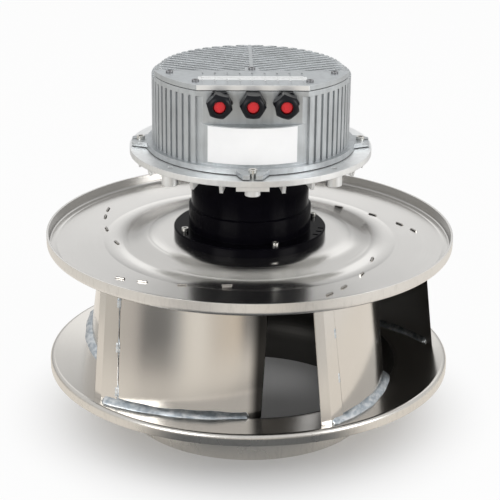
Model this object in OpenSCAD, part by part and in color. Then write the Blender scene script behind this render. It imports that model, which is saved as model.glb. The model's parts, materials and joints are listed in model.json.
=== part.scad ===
// Plug fan: external-rotor motor with a finned electronics housing and a backward-curved impeller.
// Units are millimetres. The shaft is the Z axis, the inlet rim stands on z = 0, the glands face -Y.

/* [Impeller] */
// outer radius of the back plate and the shroud
wheel_r = 250; // [240:1:262]
// height of the back plate's underside above the inlet rim
plate_z = 227; // [215:1:240]
// sheet thickness of back plate and shroud
sheet_t = 2.5; // [2:0.1:3.2]
// height of the back plate's turned-up lip, from its underside
plate_lip_h = 15.5; // [12:0.5:20]
// radius of the raised centre's flat top
raise_top_r = 122; // [112:1:128]
// radius at the foot of the raised centre
raise_foot_r = 169; // [150:1:174]
// height of the raised centre
raise_h = 7; // [5:0.5:10]
// radius of the hole in the back plate
plate_hole_r = 42; // [35:1:55]
// outer radius of the inlet neck
neck_r = 153; // [148:0.5:156]
// height of the straight inlet neck
neck_h = 25; // [18:1:32]
// radius of the bend between neck and dish
bend_r = 45; // [38:1:52]
// rise of the dish towards its rim, in degrees
dish_slope = 10; // [6:0.5:13]
// height of the shroud's turned-down lip
rim_drop = 13; // [10:0.5:18]
// radius of the bend over the shroud's rim
rim_bend_r = 5; // [4:0.5:7]

/* [Blades] */
// sheet thickness of a blade
blade_t = 3; // [2:0.1:4]
// how far the inner edge stays outside the neck, at the back plate
inner_edge_out = 3; // [1:0.5:7]
// how far the outer edge stays inside the wheel's rim, at the back plate
outer_edge_in = 33; // [28:1:42]
// how much farther out the outer edge ends at the shroud
outer_edge_flare = 18; // [10:1:25]
// angle between the inner and the outer edge
blade_wrap = 56; // [50:0.5:62]
// height of the blade's curve over its chord
blade_bulge = 18; // [8:0.5:22]
// lean of the blade towards the shroud, in degrees
blade_lean = 7.5; // [4:0.5:11]
// width of the strip folded on at the outer edge
hem_w = 14; // [8:1:18]
// thickness of that strip
hem_t = 1.6; // [1:0.1:2.5]
// length of a tab through the back plate
tab_l = 11; // [7:0.5:14]
// height of a tab above the back plate
tab_h = 1.6; // [1:0.1:3]
// gap round a tab in its slot in the back plate
slot_gap = 0.8; // [0.2:0.1:1.2]

/* [Rotor] */
// radius of the rotor cup's lower part
rotor_r = 75; // [73.5:0.5:77]
// radius of the rotor cup's upper part
rotor_neck_r = 72; // [70.5:0.5:73]
// height of the rotor cup's lower part
rotor_step_h = 39; // [25:1:60]
// overall height of the rotor cup
rotor_h = 101.5; // [98:0.5:110]
// inner radius of the rotor cup
rotor_bore_r = 67; // [66:0.2:68]
// thickness of the rotor's floor
floor_t = 12; // [9:0.5:14]
// radius of the rotor's foot
foot_r = 93.5; // [91:0.5:100]
// thickness of the rotor's foot
foot_t = 10.5; // [7:0.5:12]
// radius of the foot's screw circle
foot_screw_circle_r = 84.5; // [83.5:0.5:85.5]
// thread radius of the foot's screws
foot_screw_r = 2.5; // [2:0.25:3.5]
// radius of the shaft at the bearings
shaft_r = 12.5; // [11:0.5:13.5]

/* [Bearings and stator] */
// outer radius of the bearings
bearing_r = 26; // [25:0.5:27]
// width of the bearings
bearing_w = 15; // [13:0.5:17]
// radius of the bearing balls
ball_r = 4; // [3.2:0.1:4.2]
// radius of the bearing tube and of the stack's bore
tube_r = 33; // [31:0.5:34]
// outer radius of the stator stack
stack_r = 58; // [56:0.5:58.5]
// height of the stator stack
stack_h = 44; // [34:1:48]
// width of a stator tooth
tooth_w = 10; // [8:0.5:11]
// thickness of a coil's side
coil_t = 4.2; // [3:0.1:4.6]
// radial thickness of the magnets
magnet_t = 7.5; // [6:0.25:7.8]

/* [Flange] */
// how far the motor flange stands out from the housing's base ring
flange_step = 20.5; // [18:0.5:26]
// thickness of the motor flange
flange_t = 7.2; // [6:0.2:10]
// gap between rotor and motor flange
rotor_gap = 4.5; // [3:0.5:8]
// how far the mounting holes stand out from the base ring
bolt_step = 9; // [8:0.5:10]
// radius of the mounting holes' thread core
bolt_hole_r = 3.4; // [2.5:0.1:4.3]
// length of the bosses under the flange
boss_h = 13; // [9:0.5:16]
// radius of the mounting bosses
boss_r = 9.5; // [8:0.5:10.5]

/* [Electronics housing] */
// outer radius over the housing's ribs
housing_r = 119.5; // [118:0.5:122]
// height of the housing's front block above the flange
housing_h = 93; // [88:1:100]
// depth of the grooves between the side ribs
groove_d = 3.5; // [2.5:0.25:5]
// width of a side rib
rib_w = 6.4; // [5:0.2:8]
// width of a top fin
fin_w = 4.4; // [3:0.2:6]
// distance between neighbouring top fins
fin_pitch = 10.25; // [9:0.25:12]
// slant of the top fins, in degrees
fin_slant = 23; // [15:1:30]
// height of the top fins above the roof
fin_h = 7; // [4:0.5:10]
// wall thickness of the housing
wall_t = 5; // [4:0.25:6]
// radius of the rounded shoulder
shoulder_r = 9; // [4:0.5:12]
// how far the base ring stands out from the ribs
base_step = 6.5; // [4.5:0.5:7.5]
// height of the base ring
base_h = 7.3; // [6:0.1:10]
// how far the gland panel is set back from the ribs
panel_step = 18.5; // [16.5:0.5:21]
// height of the gland panel, from its ledge to the lid's seal
panel_h = 38.5; // [36:0.5:42]
// how far the lug screws stand out from the base ring
lug_screw_step = 7; // [6:0.5:8]
// thread radius of the lug screws
lug_screw_r = 3; // [2:0.25:3.5]

/* [Lid and glands] */
// distance of the lid's rear edge from the shaft
lid_rear_y = 33; // [30:0.5:36]
// thickness of the lid
lid_t = 6; // [4.5:0.5:9]
// thickness of the lid's seal
seal_t = 1; // [0.6:0.1:2]
// how far the gland axes lie below the top of the front block
gland_drop = 13; // [12.5:0.5:17]
// width of a gland's hexagon over its flats
gland_flats = 26.5; // [25:0.5:27]
// thread radius of a gland
gland_thread_r = 10; // [8:0.25:10.5]
// how deep a blanking plug sits in its cap
plug_sunk = 3; // [1:0.5:5]
// half the angle that the bare plate covers
plate_half_angle = 26; // [20:0.5:28]
// bare wall left below the bare plate
plate_margin = 3.2; // [1:0.2:10]

/* [Hidden] */
$fn = 96;
// clearance of pieces that are fastened to each other
fit = 0.05;
// clearance of loose pieces
loose = 0.3;
// overlap that makes a cut run clear through
over = 1;

// heights, from the inlet rim upwards
plate_top = plate_z + sheet_t;
foot_z = plate_top + raise_h;
foot_top = foot_z + foot_t;
floor_top = foot_z + floor_t;
hub_rise = 10;
hub_top = floor_top + hub_rise;
rotor_top = foot_z + rotor_h;
flange_z = rotor_top + rotor_gap;
flange_top = flange_z + flange_t;
base_top = flange_top + base_h;
block_top = flange_top + housing_h;
lid_z = block_top + seal_t;
lid_top = lid_z + lid_t;
fin_rise = 3.5;
fin_top = block_top + fin_rise;
roof_top = fin_top - fin_h;
ledge_z = block_top - panel_h;
gland_z = block_top - gland_drop;

// bearing tube, from its lower end upwards
tube_gap = 3;
tube_z = hub_top + tube_gap;
tube_lip = 1.5;
ring_t = 1.6;
ring_z = tube_z + tube_lip;
lower_bearing_z = ring_z + ring_t;
cap_t = 4;
upper_bearing_top = flange_z - 2;
upper_bearing_z = upper_bearing_top - bearing_w;
spring_t = 2;
spring_z = upper_bearing_z - spring_t;
shoulder_bore_r = bearing_r - 3.5;
shaft_end_z = upper_bearing_top + 1.5;
collar_r = shaft_r + 2.5;

// shroud section, from the neck outwards
arc_step = 6;
bend_x = neck_r + bend_r;
air_bend_r = bend_r + sheet_t;
dish_angle = 90 + dish_slope;
rim_x = wheel_r - rim_bend_r;
dish_start = [bend_x + air_bend_r * cos(dish_angle), neck_h + air_bend_r * sin(dish_angle)];
rim_run = rim_x + rim_bend_r * cos(dish_angle) - dish_start[0];
rim_start = dish_start + [rim_run, rim_run * tan(dish_slope)];
rim_center = rim_start - rim_bend_r * [cos(dish_angle), sin(dish_angle)];
rim_in_r = rim_bend_r - sheet_t;
rim_low_z = rim_center[1] + rim_bend_r - rim_drop;

// blades in their own frame: outer edge at -wrap/2, inner edge at +wrap/2
blade_step = 72;
first_blade_angle = -115;
blade_gap = 0.1;
inner_edge_r = neck_r + inner_edge_out;
outer_edge_r = wheel_r - outer_edge_in;
inner_pt = inner_edge_r * [cos(blade_wrap / 2), sin(blade_wrap / 2)];
outer_pt = outer_edge_r * [cos(blade_wrap / 2), -sin(blade_wrap / 2)];
chord = norm(outer_pt - inner_pt);
along = (outer_pt - inner_pt) / chord;
across = [-along[1], along[0]];
blade_r = (chord * chord / 4 + blade_bulge * blade_bulge) / (2 * blade_bulge);
blade_center = (inner_pt + outer_pt) / 2 - across * (blade_r - blade_bulge);
half_sweep = asin(chord / 2 / blade_r);
across_angle = atan2(across[1], across[0]);
// the lean stretches a plan along X, and this takes the stretch back
lean_shift = (inner_pt[0] + outer_pt[0]) / 2 * (1 / cos(blade_lean) - 1);
inner_slant = 14;
// angle at which the sheet meets the rim circle
hem_angle = 28;
tab_t = blade_t - 1;
tab_shares = [-0.75, -0.45, 0.05, 0.6];

// rotor, magnets and stack
hub_r = 24;
foot_screw_count = 4;
foot_screw_start = 20 - 90;
magnet_count = 10;
magnet_gap_angle = 3;
tooth_count = 12;
stack_z = (floor_top + flange_z) / 2 - stack_h / 2 + 3;
stack_top = stack_z + stack_h;
yoke_r = tube_r + 6;
tip_t = 4;
tip_gap = 3;
insulation_t = 1.5;
magnet_over = 4;

// housing
rib_count = 60;
rib_start = 35;
rib_step = (360 - 2 * rib_start) / (rib_count - 1);
gasket_t = 1;
base_r = housing_r + base_step;
flange_r = base_r + flange_step;
bolt_circle_r = base_r + bolt_step;
lug_screw_circle_r = base_r + lug_screw_step;
panel_y = housing_r - panel_step;
groove_r = housing_r - groove_d;
rib_r = housing_r - loose;
smooth_r = housing_r - 2.5;
cavity_r = groove_r - wall_t;
roof_t = 4;
cavity_top = roof_top - roof_t;
spine_w = 4;
fin_run = fin_pitch / cos(fin_slant);
fin_front_y = -housing_r;
fin_end_r = groove_r - 1;
fin_count = floor((fin_end_r - fin_front_y) / fin_run);
panel_t = 6;
pocket_x = housing_r - 41.5;
pocket_front = panel_y - panel_t;
pocket_rear = lid_rear_y + 9;
pocket_wall = 4;
pocket_floor = ledge_z - pocket_wall;
pocket_r = cavity_r;
lid_screw_r = 2;
lid_screw_circle_r = housing_r - 13.3;
lid_screw_angles = [-65.4, -38.2, 38.2, 65.4];
lid_boss_r = 6;
lid_head_r = 4.2;
lid_head_h = 2.2;
rear_screw_y = lid_rear_y - 6;
rear_boss_r = 9;
screw_depth = 14;
lug_tip_r = flange_r - 3;
lug_t = base_h - 1;
lug_half_base = 24;
lug_half_tip = 11;
label_h = ledge_z - 1 - base_top - plate_margin;

// glands, along -Y from the panel
collar_l = 6;
cap_gap = 0.4;
cap_l = 18;
dome_l = 11;
cap_turns = [14, 2, 19];
plug_l = 16;
plug_edge = 1.2;
locknut_l = 5;
locknut_flats = gland_flats - 2;
thread_l = panel_t + locknut_l + 2;
gland_bore_r = 7.4;
plug_r = gland_bore_r - fit;
dome_front_r = gland_bore_r + 0.8;
// the outer glands sit as far out as their locknuts leave the wall clear
nut_clear = 2.6;
nut_reach = sqrt(pow(pocket_r - nut_clear, 2) - pow(pocket_front, 2));
gland_pitch = nut_reach - locknut_flats / 2 / cos(30);

// electronics
board_r = cavity_r - 12.5;
board_t = 2;
board_lift = 24;
board_z = flange_top + board_lift;
board_top = board_z + board_t;
post_r = 4.5;
post_pin_l = 2;
post_circle_r = board_r - 12;
can_r = 12;
can_h = 36;
can_pitch = 30;
can_y = 58;
module_l = 62;
module_w = 36;
module_h = 14;
module_x = 70;
module_y = 8;
choke_x = 40;
choke_y = 10;
choke_core_r = 16;
choke_wire_r = 7;
block_l = 26;
block_w = 14;
block_pitch = 34;
block_hole_r = 2.5;
block_hole_pitch = 8;
block_hole_d = 6;

// rings and balls
race_in_r = shaft_r + 5;
race_out_r = bearing_r - 5;
pitch_r = (race_in_r + race_out_r) / 2;
ball_count = 9;

function arc_points(center, radius, from, to, count) = [
    for (i = [0:count])
        center + radius * [cos(from + (to - from) * i / count), sin(from + (to - from) * i / count)]
];

module ring(outer, inner, low, height) {
    translate([0, 0, low])
        difference() {
            cylinder(r = outer, h = height);
            translate([0, 0, -over])
                cylinder(r = inner, h = height + 2 * over);
        }
}

module around(count, start = 0, step = 0) {
    turn = step == 0 ? 360 / count : step;
    for (i = [0:count - 1])
        rotate([0, 0, start + i * turn])
            children();
}

// places its child at an angle measured from the front, towards +X
module front_angle(angle) {
    rotate([0, 0, angle - 90])
        children();
}

module hexagon(flats, height) {
    cylinder(r = flats / 2 / cos(30), h = height, $fn = 6);
}

// Motor flange

module flange_rib() {
    rib_t = 4;
    rib_in_r = flange_r - 46.5;
    rib_out_r = flange_r - 5;
    rotate([90, 0, 0])
        translate([0, 0, -rib_t / 2])
            linear_extrude(rib_t)
                polygon([
                    [rib_in_r, flange_z + over],
                    [rib_out_r, flange_z + over],
                    [rib_out_r - 3, flange_z - boss_h + 2]
                ]);
}

module lug_boss() {
    base_w = 38;
    base_l = 20;
    base_t = 6;
    translate([lug_screw_circle_r - base_l / 2, -base_w / 2, flange_z - base_t])
        cube([base_l, base_w, base_t + over]);
    translate([lug_screw_circle_r, 0, flange_z - boss_h])
        cylinder(r = 9, h = boss_h + over);
}

module motor_flange() {
    color("gainsboro")
        difference() {
            union() {
                translate([0, 0, flange_z])
                    cylinder(r = flange_r, h = flange_t);
                around(4)
                    lug_boss();
                around(4, 45)
                    translate([bolt_circle_r, 0, flange_z - boss_h])
                        cylinder(r = boss_r, h = boss_h + over);
                around(8, 15, 45)
                    flange_rib();
                around(8, 30, 45)
                    flange_rib();
            }
            translate([0, 0, flange_z - over])
                cylinder(r = tube_r + fit, h = flange_t + 2 * over);
            around(4, 45)
                translate([bolt_circle_r, 0, flange_z - boss_h - over])
                    cylinder(r = bolt_hole_r, h = boss_h + flange_t + 2 * over);
            around(4)
                translate([lug_screw_circle_r, 0, flange_z - boss_h + 2])
                    cylinder(r = lug_screw_r + fit, h = boss_h + flange_t);
        }
}

module bearing_tube() {
    color("silver")
        difference() {
            translate([0, 0, tube_z])
                cylinder(r = tube_r, h = flange_top - tube_z);
            tube_bore();
        }
}

module tube_bore() {
    translate([0, 0, tube_z - over])
        cylinder(r = bearing_r + fit, h = lower_bearing_z + bearing_w - tube_z + over);
    translate([0, 0, ring_z])
        cylinder(r = bearing_r + 1.5, h = ring_t);
    translate([0, 0, tube_z])
        cylinder(r = shoulder_bore_r, h = flange_top - tube_z);
    translate([0, 0, spring_z])
        cylinder(r = bearing_r + fit, h = flange_top - spring_z + over);
}

module flange_seal() {
    set_in = 0.6;
    color("dimgray")
        ring(base_r - set_in, cavity_r + set_in, flange_top, gasket_t - fit);
}

module bearing_cap() {
    color("silver")
        translate([0, 0, flange_top - cap_t])
            cylinder(r = bearing_r, h = cap_t);
}

// Bearings

module outer_ring(low) {
    color("silver")
        difference() {
            ring(bearing_r, race_out_r, low, bearing_w);
            race(low);
        }
}

module inner_ring(low) {
    color("silver")
        difference() {
            ring(race_in_r, shaft_r + fit, low, bearing_w);
            race(low);
        }
}

module race(low) {
    translate([0, 0, low + bearing_w / 2])
        rotate_extrude()
            translate([pitch_r, 0])
                circle(r = ball_r + loose);
}

module balls(low) {
    cage_t = 1.4;
    cage_w = 3;
    color("lightsteelblue") {
        ring(pitch_r + cage_t / 2, pitch_r - cage_t / 2, low + bearing_w / 2 - cage_w / 2, cage_w);
        around(ball_count)
            translate([pitch_r, 0, low + bearing_w / 2])
                sphere(r = ball_r);
    }
}

module spring_washer() {
    color("silver")
        ring(bearing_r - 0.5, race_out_r + 0.5, spring_z, spring_t);
}

module retaining_ring() {
    gap_w = 8;
    color("dimgray")
        difference() {
            ring(bearing_r + 1.4, bearing_r - 3, ring_z, ring_t);
            translate([0, -gap_w / 2, ring_z - over])
                cube([2 * bearing_r, gap_w, ring_t + 2 * over]);
        }
}

module shaft() {
    chamfer = 1.5;
    color("silver")
        rotate_extrude()
            polygon([
                [0, foot_z],
                [shaft_r, foot_z],
                [shaft_r, hub_top],
                [collar_r, hub_top],
                [collar_r, lower_bearing_z],
                [shaft_r, lower_bearing_z],
                [shaft_r, shaft_end_z - chamfer],
                [shaft_r - chamfer, shaft_end_z],
                [0, shaft_end_z]
            ]);
}

// Stator

module tooth_plan() {
    difference() {
        union() {
            circle(r = yoke_r);
            around(tooth_count)
                translate([0, -tooth_w / 2])
                    square([stack_r - tip_t / 2, tooth_w]);
            difference() {
                circle(r = stack_r);
                circle(r = stack_r - tip_t);
                around(tooth_count, 180 / tooth_count)
                    translate([0, -tip_gap / 2])
                        square([2 * stack_r, tip_gap]);
            }
        }
        circle(r = tube_r + fit);
    }
}

module stator_core() {
    color("slategray")
        translate([0, 0, stack_z])
            linear_extrude(stack_h)
                tooth_plan();
}

module coil_insulation() {
    color("ivory") {
        translate([0, 0, stack_z - insulation_t])
            linear_extrude(insulation_t)
                tooth_plan();
        translate([0, 0, stack_top])
            linear_extrude(insulation_t)
                tooth_plan();
    }
}

module stator_coils() {
    coil_in = yoke_r + 1;
    hole_w = tooth_w + 2 * loose;
    tip_r = stack_r - tip_t - loose;
    coil_l = sqrt(pow(tip_r, 2) - pow(hole_w / 2 + coil_t, 2)) - loose - coil_in;
    hole_z = stack_z - insulation_t - loose;
    hole_h = stack_h + 2 * insulation_t + 2 * loose;
    color("chocolate")
        around(tooth_count)
            difference() {
                translate([coil_in, -hole_w / 2 - coil_t, hole_z - coil_t])
                    cube([coil_l, hole_w + 2 * coil_t, hole_h + 2 * coil_t]);
                translate([coil_in - over, -hole_w / 2, hole_z])
                    cube([coil_l + 2 * over, hole_w, hole_h]);
            }
}

// Rotor

module foot_screw_places() {
    for (i = [0:foot_screw_count - 1])
        front_angle(foot_screw_start + i * 360 / foot_screw_count)
            translate([foot_screw_circle_r, 0, 0])
                children();
}

module rotor_cup() {
    edge = 1.5;
    slot_angles = [64, 72, 80];
    slot_w = 3.5;
    slot_l = 8;
    color("black")
        difference() {
            rotate_extrude()
                polygon([
                    [shaft_r + fit, foot_z],
                    [foot_r, foot_z],
                    [foot_r, foot_top - edge],
                    [foot_r - edge, foot_top],
                    [rotor_r, foot_top],
                    [rotor_r, foot_z + rotor_step_h - edge],
                    [rotor_neck_r, foot_z + rotor_step_h],
                    [rotor_neck_r, rotor_top],
                    [rotor_bore_r, rotor_top],
                    [rotor_bore_r, floor_top],
                    [hub_r, floor_top],
                    [hub_r, hub_top],
                    [shaft_r + fit, hub_top]
                ]);
            foot_screw_places()
                translate([0, 0, foot_z - over])
                    cylinder(r = foot_screw_r + fit, h = foot_t + 2 * over);
            for (angle = slot_angles)
                front_angle(angle)
                    translate([foot_r - slot_l - 1, -slot_w / 2, foot_top - 4])
                        cube([slot_l - 1, slot_w, 4 + over]);
        }
}

module rotor_magnets() {
    segment = 360 / magnet_count - magnet_gap_angle;
    color("dimgray")
        around(magnet_count)
            translate([0, 0, stack_z - magnet_over])
                rotate_extrude(angle = segment)
                    translate([rotor_bore_r - magnet_t, 0])
                        square([magnet_t - fit, stack_h + 2 * magnet_over]);
}

module foot_screws() {
    head_r = 1.7 * foot_screw_r;
    head_h = 2 * foot_screw_r;
    key_flats = 1.6 * foot_screw_r;
    key_d = foot_screw_r;
    tail = 9;
    color("silver")
        foot_screw_places()
            difference() {
                union() {
                    translate([0, 0, foot_top])
                        cylinder(r = head_r, h = head_h);
                    translate([0, 0, foot_z - sheet_t - tail])
                        cylinder(r = foot_screw_r, h = foot_t + sheet_t + tail + over);
                }
                translate([0, 0, foot_top + head_h - key_d])
                    hexagon(key_flats, key_d + over);
            }
}

module foot_nuts() {
    nut_flats = 3.2 * foot_screw_r;
    nut_h = 1.6 * foot_screw_r;
    color("silver")
        foot_screw_places()
            translate([0, 0, foot_z - sheet_t - nut_h])
                difference() {
                    hexagon(nut_flats, nut_h);
                    translate([0, 0, -over])
                        cylinder(r = foot_screw_r + fit, h = nut_h + 2 * over);
                }
}

// Impeller

// soft rise from the plate to its raised centre, from the foot inwards
function rise_points(low_z, count) = [
    for (i = [0:count])
        [
            raise_foot_r + (raise_top_r - raise_foot_r) * i / count,
            low_z + raise_h * (1 - cos(180 * i / count)) / 2
        ]
];

function reversed(list) = [for (i = [len(list) - 1:-1:0]) list[i]];

module back_plate() {
    rise_steps = 16;
    bend = 5;
    bend_steps = 6;
    lip_top = plate_z + plate_lip_h;
    lip_center = [wheel_r - bend, plate_z + bend];
    color("lightgray")
        difference() {
            rotate_extrude()
                polygon(concat(
                    [[plate_hole_r, foot_z - sheet_t]],
                    reversed(rise_points(plate_z, rise_steps)),
                    arc_points(lip_center, bend, -90, 0, bend_steps),
                    [
                        [wheel_r, lip_top],
                        [wheel_r - sheet_t, lip_top]
                    ],
                    arc_points(lip_center, bend - sheet_t, 0, -90, bend_steps),
                    rise_points(plate_top, rise_steps),
                    [[plate_hole_r, foot_z]]
                ));
            foot_screw_places()
                translate([0, 0, foot_z - sheet_t - over])
                    cylinder(r = foot_screw_r + fit, h = sheet_t + 2 * over);
            for (i = [0:4])
                rotate([0, 0, first_blade_angle + i * blade_step])
                    tabs(slot_gap);
        }
}

module shroud() {
    bend_count = ceil((180 - dish_angle) / arc_step);
    rim_count = ceil(dish_angle / 12);
    color("lightgray")
        rotate_extrude()
            polygon(concat(
                [
                    [neck_r - sheet_t, 0],
                    [neck_r, 0]
                ],
                arc_points([bend_x, neck_h], bend_r, 180, dish_angle, bend_count),
                arc_points(rim_center, rim_in_r, dish_angle, 0, rim_count),
                [
                    [wheel_r - sheet_t, rim_low_z],
                    [wheel_r, rim_low_z]
                ],
                arc_points(rim_center, rim_bend_r, 0, dish_angle, rim_count),
                arc_points([bend_x, neck_h], air_bend_r, dish_angle, 180, bend_count)
            ));
}

// space between the back plate and the shroud that a blade may fill
module blade_space() {
    top_z = plate_z - blade_gap;
    outer_low_r = outer_edge_r + outer_edge_flare;
    inner_low_r = inner_edge_r + inner_slant;
    foot_angle = acos((inner_low_r - bend_x) / air_bend_r);
    bend_count = ceil((foot_angle - dish_angle) / arc_step);
    outer_low_z = dish_start[1] + (outer_low_r - dish_start[0]) * tan(dish_slope);
    lift = [0, blade_gap];
    rotate_extrude()
        polygon(concat(
            [[inner_edge_r, top_z]],
            [for (p = arc_points([bend_x, neck_h], air_bend_r, foot_angle, dish_angle, bend_count)) p + lift],
            [
                [outer_low_r, outer_low_z + blade_gap],
                [outer_edge_r, top_z]
            ]
        ));
}

// everything inside the strip along a blade's outer edge
module inside_hem() {
    hem_run = hem_w * sin(hem_angle);
    blade_drop = plate_z - dish_start[1];
    slant = outer_edge_flare / blade_drop;
    past = 40;
    rotate_extrude()
        polygon([
            [0, plate_z + past],
            [0, -past],
            [outer_edge_r - hem_run + slant * (plate_z + past), -past],
            [outer_edge_r - hem_run - slant * past, plate_z + past]
        ]);
}

// plan of a curved sheet of the given thickness, measured from the middle of the blade's sheet
module sheet_plan(near, far, from, to) {
    reach = 2 * blade_r;
    intersection() {
        difference() {
            circle(r = blade_r + far);
            circle(r = blade_r + near);
        }
        polygon([
            [0, 0],
            reach * [cos(across_angle + from), sin(across_angle + from)],
            reach * [cos(across_angle + to), sin(across_angle + to)]
        ]);
    }
}

// stands a plan up along the blade's leaning direction, from the back plate downwards
module leaning(reach) {
    translate([0, 0, plate_z])
        rotate([0, -blade_lean, 0])
            translate([0, 0, -reach])
                linear_extrude(reach + 40)
                    translate(blade_center - [lean_shift, 0])
                        children();
}

module tabs(gap) {
    for (share = tab_shares)
        translate([blade_center[0], blade_center[1], plate_z - 2])
            rotate([0, 0, across_angle + share * half_sweep])
                translate([blade_r - tab_t / 2 - gap, -tab_l / 2 - gap, 0])
                    cube([tab_t + 2 * gap, tab_l + 2 * gap, 2 + sheet_t + tab_h]);
}

module blade(index) {
    sweep_over = 14;
    end_over = 3;
    reach = plate_z;
    color("silver")
        rotate([0, 0, first_blade_angle + (index - 1) * blade_step]) {
            difference() {
                intersection() {
                    leaning(reach)
                        sheet_plan(-blade_t / 2, blade_t / 2 + hem_t, -half_sweep - sweep_over, half_sweep + end_over);
                    blade_space();
                }
                intersection() {
                    leaning(reach + over)
                        sheet_plan(blade_t / 2, blade_t + hem_t, -half_sweep - sweep_over - 2, half_sweep + end_over + 2);
                    inside_hem();
                }
            }
            tabs(0);
        }
}

// Electronics housing

function polar(radius, angle) = radius * [cos(angle), sin(angle)];

// outline of one side rib, from one groove to the next
function rib_points(angle) = [
    polar(groove_r, angle - asin(rib_w / 2 / groove_r)),
    polar(rib_r, angle - asin(rib_w / 2 / rib_r)),
    polar(rib_r, angle + asin(rib_w / 2 / rib_r)),
    polar(groove_r, angle + asin(rib_w / 2 / groove_r))
];

// plan of the ribbed wall, with a plain stretch at the front
module ribbed_plan() {
    front = -90;
    front_steps = 12;
    polygon(concat(
        [
            for (i = [0:rib_count - 1])
                for (p = rib_points(front + rib_start + i * rib_step))
                    p
        ],
        [
            for (i = [1:front_steps - 1])
                polar(groove_r, front - rib_start + 2 * rib_start * i / front_steps)
        ]
    ));
}

// where a fin's edge that leaves the spine at y meets the circle of the fin ends
function fin_end(y) =
    let (
        from = [spine_w / 2, y],
        way = [cos(fin_slant), sin(fin_slant)],
        ahead = from * way
    )
    from + way * (sqrt(ahead * ahead - from * from + fin_end_r * fin_end_r) - ahead);

// outline of one top fin on the right of the spine, from the front backwards
function fin_points(y) = [
    [spine_w / 2, y],
    fin_end(y),
    fin_end(y + fin_w / cos(fin_slant)),
    [spine_w / 2, y + fin_w / cos(fin_slant)]
];

// plan of the top fins: slanted to both sides of a spine
module fin_plan() {
    right = [
        for (i = [0:fin_count - 1])
            for (p = fin_points(fin_front_y + i * fin_run))
                p
    ];
    left = [for (p = reversed(right)) [-p[0], p[1]]];
    tail = [[spine_w / 2, fin_end_r], [-spine_w / 2, fin_end_r]];
    polygon(concat(right, tail, left));
}

module lid_plan(radius) {
    intersection() {
        circle(r = radius);
        translate([-radius, -panel_y])
            square([2 * radius, panel_y - lid_rear_y]);
    }
}

module lugs() {
    translate([0, 0, flange_top])
        linear_extrude(lug_t)
            around(4)
                polygon([
                    [base_r - 12, -lug_half_base],
                    [lug_tip_r, -lug_half_tip],
                    [lug_tip_r, lug_half_tip],
                    [base_r - 12, lug_half_base]
                ]);
}

module corner_screw_places() {
    for (angle = lid_screw_angles)
        front_angle(angle)
            translate([lid_screw_circle_r, 0, 0])
                children();
}

module lid_screw_places() {
    corner_screw_places()
        children();
    translate([0, -rear_screw_y, 0])
        children();
}

module pocket_plan(radius, grow) {
    intersection() {
        circle(r = radius);
        translate([-pocket_x - grow, -pocket_front - grow])
            square([2 * (pocket_x + grow), pocket_front - pocket_rear + 2 * grow]);
    }
}

module electronics_housing() {
    boss_l = screw_depth + 3;
    rear_boss_l = 12;
    color("darkgray")
        difference() {
            union() {
                housing_shell();
                corner_screw_places()
                    translate([0, 0, block_top - boss_l])
                        cylinder(r = lid_boss_r, h = boss_l);
                translate([0, -rear_screw_y, cavity_top - rear_boss_l])
                    cylinder(r = rear_boss_r, h = block_top - cavity_top + rear_boss_l);
            }
            lid_screw_places()
                translate([0, 0, block_top - screw_depth])
                    cylinder(r = lid_screw_r + fit, h = screw_depth + over);
            gland_places()
                translate([0, 0, -panel_y - over])
                    cylinder(r = gland_thread_r + fit, h = panel_t + pocket_wall + over);
        }
}

module housing_shell() {
    slot_w = 2 * (lug_screw_r + loose);
    difference() {
        union() {
            translate([0, 0, flange_top])
                linear_extrude(roof_top - flange_top)
                    ribbed_plan();
            ring(base_r, cavity_r - 1, flange_top, base_h);
            lugs();
            top_fins();
            front_block();
        }
        translate([-2 * housing_r, -3 * housing_r - panel_y, ledge_z])
            cube([4 * housing_r, 3 * housing_r, housing_h]);
        cavity();
        translate([0, 0, pocket_floor])
            linear_extrude(housing_h)
                pocket_plan(pocket_r, 0);
        around(4) {
            translate([lug_screw_circle_r, 0, flange_top - over])
                cylinder(r = lug_screw_r + loose, h = base_h + 2 * over);
            translate([lug_screw_circle_r, -slot_w / 2, flange_top - over])
                cube([flange_r, slot_w, base_h + 2 * over]);
        }
        translate([0, -rear_screw_y, roof_top])
            cylinder(r = rear_boss_r + 3, h = fin_h + over);
        translate([0, 0, flange_top - over])
            cylinder(r = flange_r, h = gasket_t + over);
    }
}

// fins behind the lid, sloped down at the rim
module top_fins() {
    intersection() {
        translate([0, 0, roof_top - over])
            linear_extrude(fin_h + over)
                fin_plan();
        translate([0, 0, roof_top - over])
            cylinder(r1 = fin_end_r + over, r2 = housing_r - shoulder_r, h = fin_h + over);
        translate([-housing_r, -lid_rear_y + 1, roof_top - 2 * over])
            cube([2 * housing_r, 2 * housing_r, fin_h + 3 * over]);
    }
}

// smooth front wall under the plate, and the slab that carries the lid
module front_block() {
    front_half_angle = 31;
    slab_t = 6;
    translate([0, 0, flange_top])
        front_angle(-front_half_angle)
            rotate_extrude(angle = 2 * front_half_angle)
                translate([cavity_r - 1, 0])
                    square([smooth_r - cavity_r + 1, ledge_z - flange_top + 1]);
    translate([0, 0, block_top - slab_t])
        linear_extrude(slab_t)
            lid_plan(housing_r);
}

module cavity() {
    translate([0, 0, flange_top - over])
        cylinder(r = cavity_r, h = pocket_floor - pocket_wall - flange_top + over);
    intersection() {
        translate([0, 0, flange_top - over])
            cylinder(r = cavity_r, h = cavity_top - flange_top + over);
        translate([-housing_r, -pocket_rear + pocket_wall, flange_top - over])
            cube([2 * housing_r, 2 * housing_r, housing_h]);
    }
}

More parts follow.
